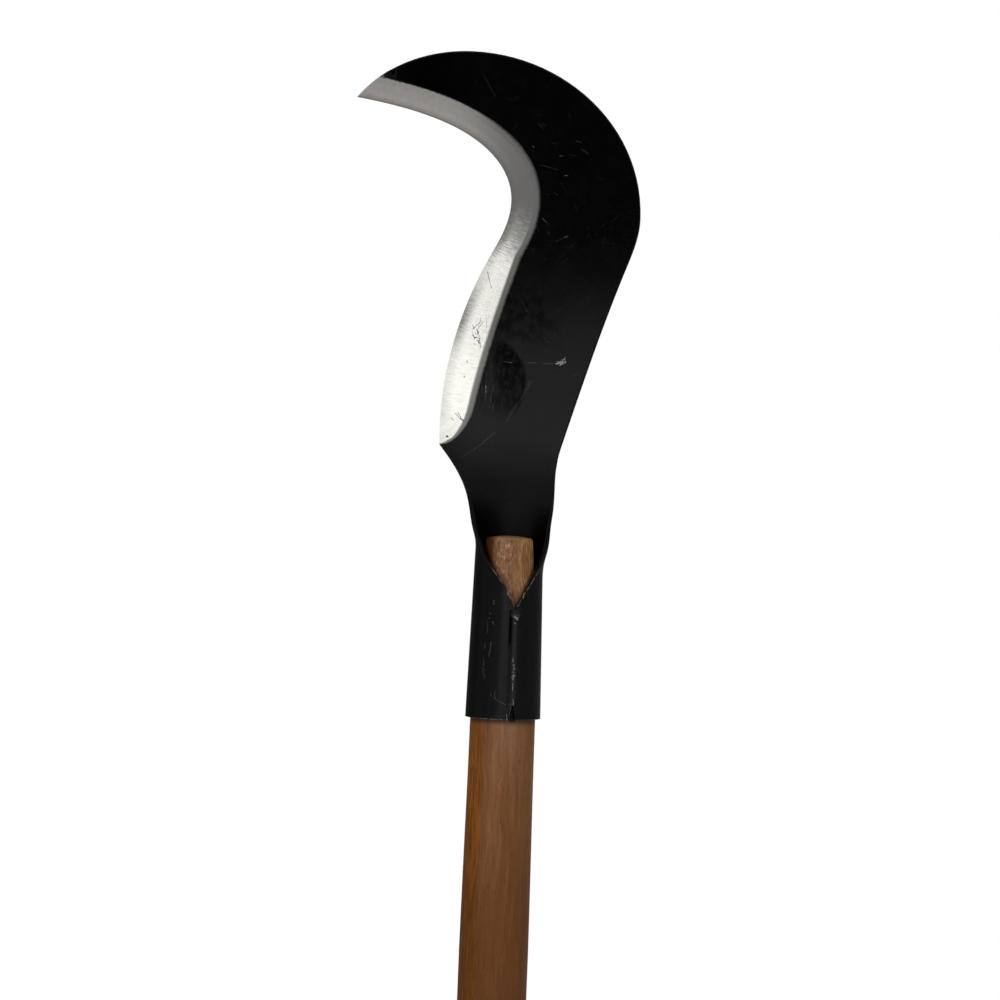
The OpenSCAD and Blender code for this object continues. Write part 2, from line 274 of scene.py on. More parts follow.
def stained_wood():
    """Brown-stained hardwood with fibres and pores, a painted shadow under the socket, and black in the
    seam gap that is partly a run of paint and partly painted shade.
    """
    material, tree, shader, place = new_finish("stained_wood", specular=0.25)
    x, y, z = split(tree, place)
    sway = grain(tree, place, (0.03, 0.03, 0.05), detail=2.0)
    push = join(tree, x=times(tree, sway, 0.010))
    swayed = shader_node(tree, "VectorMath", {0: place, 1: push}, operation="ADD").outputs[0]
    fibre = grain(tree, swayed, (0.0009, 0.0009, 0.022), detail=4.0, roughness=0.65)
    pores = grain(tree, place, (0.0006, 0.0006, 0.0032), detail=1.0, shift=(3.0, 1.0, 7.0))

    bare = fade(tree, z, seat_top, seat_top + 0.006)
    tint = mix(tree, bare, shaft_tint(tree, place, swayed, fibre), nose_tint(tree, place, swayed))
    # The nose's left side is burnt and, besides, painted darker as shade from the trough's left wall.
    burnt_and_shaded = times(tree, bare, fade(tree, x, -0.0058, -0.0099), 0.95)
    tint = mix(tree, burnt_and_shaded, tint, burnt_and_shaded_orange)
    shade = fade(tree, fibre, 0.25, 0.75, 0.80, 1.16)
    tint = mix(tree, 1.0, tint, join(tree, shade, shade, shade), "MULTIPLY")
    pore_mask = times(tree, fade(tree, pores, 0.62, 0.74), fade(tree, bare, 0.0, 1.0, 0.45, 0.3))
    tint = mix(tree, pore_mask, tint, pore_brown)
    # A painted shadow on the wood just under the socket's mouth.
    mouth_shadow = times(tree, fade(tree, z, mouth_z - mouth_shadow_len, mouth_z - 0.0006, 0.0, 0.80),
                  below(tree, z, seat_top))
    tint = mix(tree, mouth_shadow, tint, mouth_shadow_brown)
    # Black in the seam gap and just under the mouth: partly a run of paint, partly painted shade in the
    # deep gap.
    run_side = plus(tree, x, fade(tree, z, seam_paint_and_shade_low, mouth_z + 0.0006, -0.0018, 0.0))
    seam_paint_and_shade = times(tree, fade(tree, run_side, 0.0016, 0.0026), fade(tree, x, 0.0070, 0.0058),
                      fade(tree, z, seam_paint_and_shade_low, mouth_z - 0.0006),
                      fade(tree, z, seam_paint_and_shade_top, seam_paint_and_shade_top - 0.004),
                      below(tree, y, 0.0))
    tint = mix(tree, seam_paint_and_shade, tint, seam_black)

    rough = fade(tree, fibre, 0.2, 0.8, 0.62, 0.46)
    height = calc(tree, "SUBTRACT", fibre, times(tree, fade(tree, pores, 0.6, 0.75), 0.8))
    connect(tree, shader, Base_Color=tint, Roughness=rough, Normal=relief(tree, height, 0.00010))
    return material


def up_and_round(spot):
    """A number that grows up the pole, and round it at one height."""
    return spot.z * 1e6 + math.atan2(spot.y, spot.x)


turned = bmesh.new()
quarter_turn = [math.radians(90 * step / butt_steps) for step in range(butt_steps + 1)]
butt_arc = [(shaft_r - butt_round + butt_round * math.sin(a), butt_round - butt_round * math.cos(a))
            for a in quarter_turn]
nose_face = [(nose_r * share, pole_top.z - nose_dome * share ** 2)
             for share in (0.93, 0.75, 0.5, 0.25, 0.0)]
pole_side = [(0.0, 0.0)] + butt_arc + [
    (shaft_r, mouth_z - ease_len), (seat_r, mouth_z), (seat_r - seat_len * socket_slim, seat_top),
    (nose_r, pole_top.z - nose_dome - nose_edge)] + nose_face
rail = [turned.verts.new((r, 0.0, z)) for r, z in pole_side]
rail_edges = [turned.edges.new(pair) for pair in zip(rail, rail[1:])]
long_edges = [edge for edge in rail_edges if edge.calc_length() > long_edge]
bmesh.ops.subdivide_edges(turned, edges=long_edges, cuts=pole_cuts)
bmesh.ops.spin(turned, geom=turned.verts[:] + turned.edges[:], axis=(0, 0, 1), cent=(0, 0, 0),
               angle=2 * math.pi, steps=pole_sides, use_merge=True)
bmesh.ops.remove_doubles(turned, verts=turned.verts, dist=1e-6)
bmesh.ops.recalc_face_normals(turned, faces=turned.faces)
# Their order can differ from run to run, so it is set here: up the pole and then round it.
turned.verts.sort(key=lambda vert: up_and_round(vert.co))
turned.edges.sort(key=lambda edge: up_and_round((edge.verts[0].co + edge.verts[1].co) / 2))
turned.faces.sort(key=lambda face: up_and_round(face.calc_center_median()))
for vert in turned.verts:
    clear_of_socket = min(1.0, max(0.0, (mouth_z - wear_clear - vert.co.z) / wear_fade))
    dent = 0.5 + 0.5 * noise.noise(vert.co * dent_scale)
    outward = Vector((vert.co.x, vert.co.y, 0.0)).normalized()
    vert.co -= outward * hand_wear * clear_of_socket * dent
for face in turned.faces:
    face.smooth = True
pole = add_piece("pole_turned", turned, [stained_wood()], "root", "pole")
pole.data.set_sharp_from_angle(angle=sharp_angle)


# The blade and its socket
# One 2.5 mm steel plate: cut to shape, hollowed at the neck, rolled into a split socket, painted
# black, and then ground on both faces along the cutting edge, which leaves bright bare steel.
heel_z = mouth_z + 0.140
bend_z = mouth_z + 0.241
merge_gap = 2e-6
shoulder_depth = 0.0004
bevel_run = 0.020
keen_half = 0.00025
least_share = 0.04
grind_start = heel_z + 0.0003
flat_start = heel_z + 0.001
socket_rims = heel_z - 0.002
rim_round = 0.0008
worn_round = 0.00024
rim_angle = math.radians(40)
crease_angle = math.radians(1.5)
full_thickness = 0.98
trough_top = heel_z + 0.030
trough_middle = (0.002, -0.004)
# The rims stay sharp within these distances of the screw hole, the heel's corner and the beak's tip.
screw_z = mouth_z + 0.024
hole_clear = 0.025
hole_back = 0.010
heel_clear = 0.005
tip_clear = 0.016
# The painted dark reflection is a leaf: its right side is an arc about this centre, and it fades to the
# left.
reflection_centre = (-0.0207, 0.0, mouth_z + 0.1733)
reflection_radius = 0.0265
reflection_left = -0.0115
reflection_lean = 0.095
reflection_lean_z = mouth_z + 0.18
reflection_foot = mouth_z + 0.157
# The bright steel ends in an arc at the heel, and the grinding fades out beyond it.
heel_centre = (-0.0458, 0.0, mouth_z + 0.1608)
heel_arc = 0.0214
keen_dark_z = heel_z + 0.067
dark_patch_z = heel_z + 0.068
groove_x = 0.0021
groove_top = mouth_z + 0.056
heel_band_top = heel_z + 0.016
paint_peel = 0.000003

paint_deep = (0.0009, 0.0009, 0.0010, 1)
paint_pale = (0.0014, 0.0014, 0.0015, 1)
hair_grey = (0.045, 0.045, 0.045, 1)
dust_grey = (0.06, 0.06, 0.058, 1)
faint_grey = (0.045, 0.045, 0.045, 1)
deep_grey = (0.24, 0.24, 0.23, 1)
rim_grey = (0.22, 0.215, 0.205, 1)
lit_belly_steel = (0.93, 0.925, 0.86, 1)
shaded_hook_steel = (0.215, 0.21, 0.20, 1)
beak_steel = (0.44, 0.42, 0.405, 1)
lit_belly_streak = (0.52, 0.50, 0.48, 1)
shaded_hook_streak = (0.26, 0.255, 0.245, 1)
keen_steel = (0.11, 0.107, 0.10, 1)
warm_steel = (0.56, 0.505, 0.46, 1)
edge_steel = (0.16, 0.155, 0.15, 1)
low_shoulder = (0.29, 0.285, 0.27, 1)
high_shoulder = (0.20, 0.196, 0.186, 1)
cut_brown = (0.06, 0.05, 0.045, 1)

# Each scratch runs from an x and a height above the mouth to another, with its width, in millimetres.
deep_scratches = [
    (-6.7, 184.6, -2.4, 184.0, 0.30), (20.6, 184.4, 24.0, 185.0, 1.2),
    (21.2, 185.3, 25.4, 185.7, 0.9), (22.6, 183.7, 25.6, 185.3, 0.8),
    (24.6, 186.0, 25.2, 187.8, 0.6), (23.2, 186.2, 24.4, 186.8, 0.7),
    (-15.7, 171.7, -15.3, 168.1, 0.30), (18.3, 292.7, 20.2, 293.0, 0.32),
    (21.3, 282.7, 22.9, 282.8, 0.30), (3.9, 297.7, 4.6, 296.7, 0.30),
    (22.0, 250.2, 23.9, 251.1, 0.35), (10.3, 260.2, 13.0, 257.7, 0.25),
    (-0.1, 65.2, 0.3, 63.7, 0.5), (0.9, 63.9, 1.4, 62.4, 0.4), (8.5, 65.3, 7.9, 62.5, 0.7),
    (1.8, 2.8, 2.8, -1.6, 0.45)]
faint_scratches = [
    (5.9, 184.4, 9.8, 184.5, 1.0), (14.3, 184.4, 19.2, 184.3, 1.1), (8.1, 174.7, 3.3, 165.4, 0.6),
    (3.3, 165.4, -4.3, 153.2, 0.6), (7.2, 174.9, 4.2, 169.6, 0.5), (1.6, 163.8, -2.9, 157.0, 0.5),
    (-9.8, 147.5, -17.3, 140.4, 0.7), (-11.3, 171.9, -12.6, 166.6, 0.5),
    (-11.4, 162.5, -11.5, 159.4, 0.6), (-12.6, 166.3, -12.9, 160.2, 0.5),
    (-15.0, 171.4, -15.2, 164.0, 0.5), (6.2, 309.2, 9.2, 306.4, 0.6),
    (8.7, 287.7, 17.6, 285.4, 0.6), (26.3, 301.1, 29.5, 300.0, 0.9),
    (29.1, 296.8, 33.4, 294.4, 0.8), (16.2, 273.4, 18.6, 272.2, 0.7),
    (-23.1, 333.3, -16.4, 322.3, 0.6), (13.4, 253.0, 14.7, 252.0, 0.8),
    (18.0, 248.0, 22.0, 250.2, 0.5), (-17.3, 140.4, -26.9, 133.5, 0.6),
    (1.5, 217.1, 4.4, 211.0, 0.6)]
socket_scratches = [
    (-7.0, 60.7, -6.9, 58.9, 1.1), (-8.9, 54.1, -8.4, 53.9, 1.0), (-9.6, 51.7, -8.7, 51.8, 0.7),
    (-7.0, 49.5, -6.6, 48.6, 1.1), (-9.7, 49.8, -9.6, 43.6, 0.5), (-10.7, 38.7, -10.6, 35.6, 0.6),
    (-7.5, 39.3, -7.8, 36.2, 0.8), (-7.9, 35.4, -8.4, 32.0, 0.9), (-11.1, 30.9, -10.8, 26.7, 0.7),
    (-11.8, 25.6, -10.0, 25.2, 0.6), (-10.0, 25.2, -11.4, 23.8, 0.6),
    (-11.4, 23.8, -10.1, 22.8, 0.6), (-10.1, 22.8, -10.5, 20.7, 0.6), (-6.5, 13.9, -6.4, 11.8, 0.5),
    (-4.5, 14.3, -4.6, 10.6, 0.6), (-4.5, 10.5, 0.8, 7.9, 0.6), (0.8, 7.9, 4.0, 8.2, 0.5),
    (2.2, 6.3, 1.8, 3.1, 0.7)]
# The cuts are in the bare steel: a tangle at mid belly, a few at the heel and some specks.
steel_cuts = [
    (-19.7, 206.9, -19.6, 205.2, 0.4), (-19.6, 205.2, -20.9, 202.8, 0.4),
    (-18.1, 205.0, -19.5, 203.0, 0.3), (-19.5, 203.0, -20.7, 201.3, 0.35),
    (-21.4, 203.1, -22.5, 201.8, 0.45), (-22.5, 201.8, -23.8, 200.7, 0.35),
    (-23.9, 203.0, -22.8, 201.4, 0.4), (-21.3, 200.8, -20.4, 198.3, 0.7),
    (-22.2, 199.3, -21.6, 197.9, 0.4), (-20.5, 199.6, -21.0, 198.0, 0.35),
    (-22.5, 196.7, -19.6, 196.3, 0.4), (-23.5, 197.5, -22.1, 196.2, 0.4),
    (-22.4, 195.8, -21.1, 196.9, 0.35), (-21.1, 195.4, -19.8, 194.8, 0.45),
    (-20.6, 194.9, -19.9, 193.4, 0.45), (-19.7, 196.3, -19.7, 193.2, 0.35),
    (-19.3, 194.1, -18.9, 190.9, 0.3), (-16.6, 206.9, -16.2, 201.7, 0.22),
    (-17.1, 231.0, -16.0, 227.1, 0.45), (-16.0, 227.1, -14.6, 222.6, 0.3),
    (-28.2, 154.1, -26.4, 152.8, 0.8), (-30.9, 156.5, -28.8, 154.6, 0.5),
    (-29.4, 157.2, -27.6, 154.0, 0.4), (-32.9, 154.4, -31.8, 152.9, 0.5),
    (-23.6, 198.6, -23.0, 197.2, 0.45), (-20.2, 197.5, -19.5, 197.2, 0.5),
    (-20.3, 196.4, -19.4, 196.2, 0.6), (-22.6, 193.1, -21.7, 193.0, 0.4),
    (-21.9, 198.8, -21.8, 198.0, 0.5), (-22.9, 201.6, -22.7, 201.2, 0.8),
    (-22.6, 196.4, -22.2, 196.1, 0.8), (-20.5, 194.7, -20.1, 193.8, 0.7),
    (-34.7, 144.5, -34.4, 144.3, 1.5), (-25.9, 184.0, -25.7, 183.6, 0.7),
    (-27.0, 176.0, -26.8, 175.7, 0.7)]


def new_effect(name, inputs, outputs):
    """A shader node group: its tree, the sockets that it is given and the sockets that it fills."""
    tree = bpy.data.node_groups.new(name, "ShaderNodeTree")
    for socket, kind in inputs.items():
        tree.interface.new_socket(socket, in_out="INPUT", socket_type="NodeSocket" + kind)
    for socket, kind in outputs.items():
        tree.interface.new_socket(socket, in_out="OUTPUT", socket_type="NodeSocket" + kind)
    given = tree.nodes.new("NodeGroupInput").outputs
    result = tree.nodes.new("NodeGroupOutput").inputs
    return tree, given, result


def use_effect(tree, effect, inputs):
    """Places an effect in a material with its own values."""
    return shader_node(tree, "Group", inputs, node_tree=effect).outputs


def scratch_effect():
    """A thin line between two spots, ragged by the breaks that it is given, as a mask."""
    spots = {"Place": "Vector", "Start": "Vector", "End": "Vector"}
    tree, given, result = new_effect(
        "scratch", {**spots, "Width": "Float", "Breaks": "Float"}, {"Mask": "Float"})

    def vector(operation, a, b, out="Vector"):
        return shader_node(tree, "VectorMath", {0: a, 1: b}, operation=operation).outputs[out]

    run = vector("SUBTRACT", given["End"], given["Start"])
    reach = vector("SUBTRACT", given["Place"], given["Start"])
    share = calc(tree, "DIVIDE", vector("DOT_PRODUCT", reach, run, "Value"),
                 vector("DOT_PRODUCT", run, run, "Value"))
    share = shader_node(tree, "Clamp", {"Value": share}).outputs[0]
    nearest = shader_node(tree, "VectorMath", {0: run, "Scale": share}, operation="SCALE").outputs[0]
    off_line = vector("DISTANCE", reach, nearest, "Value")
    half = times(tree, given["Width"], fade(tree, given["Breaks"], 0.32, 0.62, 0.05, 0.6))
    tree.links.new(fade(tree, off_line, half, times(tree, half, 0.25)), result["Mask"])
    return tree


def black_paint_effect():
    """Thin black paint: a faint mottle, rubbed hairlines and dust; its roughness is a share about 1."""
    kinds = {"Colour": "Color", "Roughness": "Float", "Height": "Float"}
    tree, given, result = new_effect("black_paint", {"Place": "Vector"}, kinds)
    place = given["Place"]
    mottle = grain(tree, place, (0.006, 0.006, 0.006), detail=4.0)
    peel = grain(tree, place, (0.0009, 0.0009, 0.0009), detail=2.0)
    specks = grain(tree, place, (0.0006, 0.0006, 0.0006), detail=1.0, shift=(4.0, 4.0, 4.0))
    hairs = []
    for turn, shift in ((28.0, 2.0), (-47.0, 6.0), (80.0, 11.0)):
        turned_by = (0.0, math.radians(turn), 0.0)
        laid = shader_node(tree, "Mapping", {"Vector": place, "Rotation": turned_by}).outputs[0]
        lines = grain(tree, laid, (0.0004, 0.004, 0.009), detail=1.0, shift=(shift, 0.0, shift))
        hairs.append(fade(tree, lines, 0.72, 0.82))
    colour = mix(tree, fade(tree, mottle, 0.3, 0.7), paint_deep, paint_pale)
    colour = mix(tree, times(tree, most(tree, *hairs), 0.35), colour, hair_grey)
    colour = mix(tree, fade(tree, specks, 0.78, 0.84, 0.0, 0.4), colour, dust_grey)
    tree.links.new(colour, result["Colour"])
    tree.links.new(fade(tree, mottle, 0.3, 0.7, 0.92, 1.12), result["Roughness"])
    tree.links.new(peel, result["Height"])
    return tree


scratch = scratch_effect()
black_paint = black_paint_effect()


def scored(tree, flat_place, breaks, scratches):
    """All the scratches of a list as one mask."""
    lines = []
    for start_x, start_h, end_x, end_h, width in scratches:
        start = (start_x / 1000, 0.0, mouth_z + start_h / 1000)
        end = (end_x / 1000, 0.0, mouth_z + end_h / 1000)
        given = {"Place": flat_place, "Start": start, "End": end,
                 "Width": width / 1000, "Breaks": breaks}
        lines.append(use_effect(tree, scratch, given)["Mask"])
    return most(tree, *lines)


def waver(tree, place, shift):
    """A small sideways waver, so that no scratch is ruled straight."""
    soft = grain(tree, place, (0.002, 0.002, 0.002), shift=(shift, shift, shift))
    return fade(tree, soft, 0.2, 0.8, -0.00014, 0.00014)


def away_from(tree, place, centre):
    """How far a place lies from a centre."""
    return shader_node(tree, "VectorMath", {0: place, 1: centre}, operation="DISTANCE").outputs["Value"]


def scratched_coat(tree, place, flat_place, colour, front):
    """The paint's colour with its scratches, which are fainter towards the crown."""
    _, _, z = split(tree, place)
    breaks = grain(tree, place, (0.0007, 0.0007, 0.0007), detail=3.0)
    faint = times(tree, scored(tree, flat_place, breaks, faint_scratches + socket_scratches), front,
                  fade(tree, z, heel_z + 0.06, heel_z + 0.13, 0.7, 0.35))
    deep = times(tree, scored(tree, flat_place, breaks, deep_scratches), front,
                 fade(tree, z, heel_z + 0.06, heel_z + 0.10, 1.0, 0.6))
    return mix(tree, deep, mix(tree, faint, colour, faint_grey), deep_grey)


def painted_dark_reflection(tree, place, flat_place):
    """A painted dark reflection as a mask: a leaf, with strokes that run off its left side."""
    x, _, z = split(tree, place)
    off_centre = away_from(tree, flat_place, reflection_centre)
    leaf = times(tree, fade(tree, off_centre, reflection_radius + 0.0008, reflection_radius - 0.0016),
                 fade(tree, z, reflection_foot - 0.005, reflection_foot + 0.008))
    leaning = times(tree, calc(tree, "SUBTRACT", z, reflection_lean_z), reflection_lean)
    uneven = fade(tree, grain(tree, place, (0.002, 0.002, 0.005)), 0.2, 0.8, -0.0035, 0.0035)
    from_left = plus(tree, x, leaning, uneven)
    blotches = grain(tree, place, (0.003, 0.003, 0.004))
    core = times(tree, fade(tree, from_left, reflection_left - 0.0050, reflection_left + 0.0050),
                 fade(tree, z, reflection_foot + 0.008, reflection_foot + 0.026, 0.70, 0.84),
                 fade(tree, blotches, 0.35, 0.58, 0.6, 1.0))
    strokes = grain(tree, place, (0.0008, 0.0008, 0.008), detail=2.0, shift=(5.0, 0.0, 1.0))
    strokes = times(tree, fade(tree, strokes, 0.45, 0.62, 0.05, 0.60),
                    fade(tree, from_left, reflection_left - 0.011, reflection_left - 0.004))
    return times(tree, most(tree, core, strokes), leaf)


def shaded_hollow(tree, place, inner, front):
    """Painted shade on the two sides of the trough and in the groove beside the weld."""
    x, _, z = split(tree, place)
    left_wall = times(tree, fade(tree, x, 0.006, -0.013), fade(tree, z, heel_z - 0.012, heel_z - 0.044))
    right_wall = times(tree, fade(tree, x, 0.004, 0.017), fade(tree, z, heel_z - 0.016, heel_z - 0.046))
    walls = times(tree, most(tree, left_wall, right_wall), inner, 0.9)
    groove = times(tree, fade(tree, apart(tree, x, groove_x), 0.0010, 0.0005), front,
                   fade(tree, z, mouth_z + 0.034, mouth_z + 0.042, 0.3, 0.95),
                   below(tree, z, groove_top))
    return most(tree, walls, groove)


def shaded_spots(tree, place, inner, front):
    """Painted shade: paint made to mirror nothing on the beak, in a patch beside the shoulder and at the
    neck.
    """
    x, _, z = split(tree, place)
    beak_tip = times(tree, fade(tree, x, -0.015, -0.060, 0.0, 0.9), front)
    cloudy = grain(tree, place, (0.004, 0.004, 0.006), detail=4.0, shift=(6.0, 1.0, 2.0))
    dark_patch = times(tree, fade(tree, apart(tree, z, dark_patch_z), 0.024, 0.002), fade(tree, x, 0.030, 0.006),
                   fade(tree, cloudy, 0.36, 0.62, 0.15, 0.65), front)
    neck = times(tree, fade(tree, z, heel_z - 0.006, heel_z - 0.020, 0.0, 0.33), inner)
    return most(tree, dark_patch, neck, beak_tip)


def bare_steel(tree, place, flat_place, ground, beak, on_hook, front):
    """Ground steel with painted light: white where the belly catches the light, grey on the hook that
    turns from it, dull along the shoulder.
    """
    _, _, z = split(tree, place)
    grind = shader_node(tree, "UVMap", uv_map="grind").outputs["UV"]
    _, across, _ = split(tree, grind)
    streaks = grain(tree, grind, (0.0010, 0.006, 1.0), detail=5.0, roughness=0.75)
    lines = grain(tree, grind, (0.0006, 0.004, 1.0), detail=2.0, roughness=0.6, shift=(4.0, 2.0, 0.0))

    # Painted light: the belly is painted white where it catches the light and grey past the bend, where
    # it turns away, sooner at both sides and along fine lines.
    bend_at = plus(tree, z, fade(tree, across, 0.003, 0.010, 0.0, 0.006),
                   fade(tree, across, 0.0040, 0.0018, 0.0, 0.005),
                   fade(tree, lines, 0.32, 0.68, -0.0055, 0.0025))
    lit_belly = fade(tree, bend_at, bend_z + 0.029, bend_z - 0.009)
    off_lit_belly = calc(tree, "SUBTRACT", 1.0, lit_belly)
    steel = mix(tree, lit_belly, mix(tree, beak, shaded_hook_steel, beak_steel), lit_belly_steel)
    keen_dark = times(tree, fade(tree, across, 0.0072, 0.0),
                      fade(tree, apart(tree, z, keen_dark_z), 0.025, 0.002, 0.32, 0.96),
                      fade(tree, lines, 0.36, 0.60, 0.68, 1.0))
    steel = mix(tree, keen_dark, steel, keen_steel)
    warm = times(tree, fade(tree, apart(tree, across, 0.0036), 0.0030, 0.0), on_hook, 0.6)
    steel = mix(tree, warm, steel, warm_steel)
    thin_edge = times(tree, fade(tree, across, 0.0011, 0.0004), off_lit_belly, 0.6)
    steel = mix(tree, thin_edge, steel, edge_steel)

    # The hollow shoulder runs beside the paint and round the heel, and it nearly ends on the hook.
    off_heel = away_from(tree, flat_place, heel_centre)
    heel_band = times(tree, fade(tree, off_heel, heel_arc, heel_arc + 0.0006),
                      below(tree, z, heel_band_top))
    shoulder = times(tree, fade(tree, ground, 1.14, 0.93), fade(tree, on_hook, 0.0, 0.8, 1.0, 0.12))
    shoulder = most(tree, shoulder, heel_band)
    higher = fade(tree, z, heel_z + 0.040, heel_z + 0.065)
    steel = mix(tree, shoulder, steel, mix(tree, higher, low_shoulder, high_shoulder))

    worked = times(tree, fade(tree, streaks, 0.45, 0.68, 0.0, 0.36),
                   fade(tree, shoulder, 0.0, 1.0, 1.0, 0.1))
    steel = mix(tree, worked, steel, mix(tree, lit_belly, shaded_hook_streak, lit_belly_streak))
    cuts = times(tree, scored(tree, flat_place, 0.56, steel_cuts), front)
    steel = mix(tree, cuts, steel, cut_brown)
    bright = times(tree, lit_belly, calc(tree, "SUBTRACT", 1.0, shoulder))
    return steel, bright, streaks


def plate_finish(middle_y):
    """Scratched paint over the plate, and bare steel where the grinding took the paint away."""
    material, tree, shader, place = new_finish("painted_plate")
    x, y, z = split(tree, place)
    front = below(tree, y, fade(tree, z, heel_z - 0.07, heel_z - 0.02, 0.0, middle_y))
    inner = shader_node(tree, "Attribute", attribute_name="inner").outputs["Fac"]
    ground = shader_node(tree, "Attribute", attribute_name="ground").outputs["Fac"]
    flat_place = join(tree, x=plus(tree, x, waver(tree, place, 3.0)),
                      z=plus(tree, z, waver(tree, place, 8.0)))

    paint = use_effect(tree, black_paint, {"Place": place})
    coat = scratched_coat(tree, place, flat_place, paint["Colour"], front)
    # The leaf below is a painted dark reflection.
    rub_and_painted_light = times(tree, painted_dark_reflection(tree, place, flat_place), front)
    # Painted shade and a painted dark reflection: where this mask is 1 the black paint is made fully
    # metallic, so it mirrors nothing.
    shade_and_dark_reflection = most(tree, rub_and_painted_light, shaded_hollow(tree, place, inner, front),
                     shaded_spots(tree, place, inner, front))
    low_rough = fade(tree, z, mouth_z + 0.05, heel_z, 0.21, 0.16)
    flat_rough = fade(tree, z, heel_z + 0.03, heel_z + 0.10, low_rough, 0.07)
    coat_rough = times(tree, paint["Roughness"], flat_rough)
    hollow = times(tree, fade(tree, z, heel_z + 0.016, heel_z - 0.022), inner)
    coat_rough = fade(tree, hollow, 0.0, 1.0, coat_rough, 0.42)

    beak = fade(tree, x, 0.004, -0.045)
    on_hook = times(tree, beak, fade(tree, z, bend_z - 0.005, bend_z + 0.030))
    ragged = grain(tree, place, (0.0015, 0.0015, 0.0015), detail=3.0)
    ragged = times(tree, fade(tree, ragged, 0.0, 1.0, -0.10, 0.10), fade(tree, ground, 0.0, 0.10))
    bared = fade(tree, plus(tree, ground, ragged), 0.02, fade(tree, on_hook, 0.0, 0.8, 0.65, 0.33))
    steel, bright, streaks = bare_steel(tree, place, flat_place, ground, beak, on_hook, front)
    steel_rough = fade(tree, bright, 0.0, 1.0, 0.45, 0.14)
    steel_metal = fade(tree, bright, 0.0, 1.0, 0.55, 0.88)

    colour = mix(tree, bared, coat, steel)
    rough = fade(tree, bared, 0.0, 1.0, coat_rough, steel_rough)
    metal = fade(tree, bared, 0.0, 1.0, shade_and_dark_reflection, steel_metal)
    height = fade(tree, bared, 0.0, 1.0, paint["Height"], streaks)
    connect(tree, shader, Base_Color=colour, Metallic=metal, Roughness=rough,
            Normal=relief(tree, height, paint_peel))
    return material


def rim_finish():
    """The rounded rims of the plate, where the paint has rubbed through to steel."""
    material, tree, shader, place = new_finish("rubbed_rim")
    x, y, z = split(tree, place)
    paint = use_effect(tree, black_paint, {"Place": place})
    rub = grain(tree, place, (0.0016, 0.0016, 0.0030), detail=4.0, roughness=0.65)
    at_v = fade(tree, z, mouth_z + 0.084, mouth_z + 0.074, -0.20, 0.115)
    at_mouth = fade(tree, apart(tree, x, -0.004), 0.013, 0.006, -0.20, 0.12)
    wear_and_sheen = fade(tree, z, mouth_z + 0.03, mouth_z + 0.01, at_v, at_mouth)
    wear_and_sheen = calc(tree, "SUBTRACT", wear_and_sheen, fade(tree, y, -0.004, 0.004, 0.0, 0.2))
    rub_and_painted_light = fade(tree, plus(tree, rub, wear_and_sheen), 0.52, 0.72)
    connect(tree, shader, Base_Color=mix(tree, rub_and_painted_light, paint["Colour"], rim_grey),
            Metallic=times(tree, rub_and_painted_light, 0.3), Roughness=fade(tree, rub_and_painted_light, 0.0, 1.0, 0.2, 0.45),
            Normal=relief(tree, paint["Height"], paint_peel))
    return material


plate = bmesh.new()
plate.from_mesh(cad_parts["blade_head"].data)
bmesh.ops.remove_doubles(plate, verts=plate.verts, dist=merge_gap)
ground_layer = plate.verts.layers.float.new("ground")
inner_layer = plate.verts.layers.float.new("inner")
grind_layer = plate.loops.layers.uv.new("grind")
rim_layer = plate.edges.layers.float.new("bevel_weight_edge")
blade = [vert for vert in plate.verts if vert.co.z > heel_z - merge_gap]
blade_front = min(vert.co.y for vert in blade)
blade_back = max(vert.co.y for vert in blade)
blade_mid = (blade_front + blade_back) / 2
half_plate = (blade_back - blade_front) / 2
heel_corner = min(blade, key=lambda vert: vert.co.z * 10 + vert.co.x).co


def ground_off(vert):
    """How deep the grinding has gone at a corner of the blade, measured from the painted face."""
    return half_plate - abs(vert.co.y - blade_mid) if vert.co.z > heel_z - merge_gap else 0.0


def ground_share(height):
    """The wheel rounds out of the heel: share of the full depth at a height above it."""
    return max(least_share, math.sqrt(1 - (1 - min(1.0, height / bevel_run)) ** 2))


keen = [vert for vert in blade if ground_off(vert) > half_plate - keen_half and vert.co.y < blade_mid]
keen.sort(key=lambda vert: vert.co.z)
keen_line = [Vector((vert.co.x, blade_mid, vert.co.z)) for vert in keen]
keen_run = [0.0]
for low, high in zip(keen_line, keen_line[1:]):
    keen_run.append(keen_run[-1] + (high - low).length)


def grind_place(vert):
    """Where a corner lies on the ground strip: how far along the cutting edge and how far from it."""
    flat = Vector((vert.co.x, blade_mid, vert.co.z))
    spots = []
    for index, (low, high) in enumerate(zip(keen_line, keen_line[1:])):
        _, share = intersect_point_line(flat, low, high)
        share = min(1.0, max(0.0, share))
        spot = low.lerp(high, share)
        spots.append(((flat - spot).length, keen_run[index] + share * (high - low).length))
    across, along = min(spots)
    return along, across


def stays_sharp(edge, thickness):
    """Whether a rim isn't rounded: on ground steel, at the screw hole, the heel or the beak's tip."""
    for vert in edge.verts:
        off_hole = (vert.co - Vector((0.0, 0.0, screw_z))).length
        at_hole = off_hole < hole_clear and vert.co.y > hole_back
        at_heel = (vert.co - heel_corner).length < heel_clear
        if at_hole or at_heel or vert.co.x < head_foot.x + tip_clear:
            return True
    return thickness < full_thickness


def on_flat_face(edge):
    """Whether an edge lies on the painted flat of the blade."""
    return all(vert.co.z > flat_start and ground_off(vert) < merge_gap for vert in edge.verts)


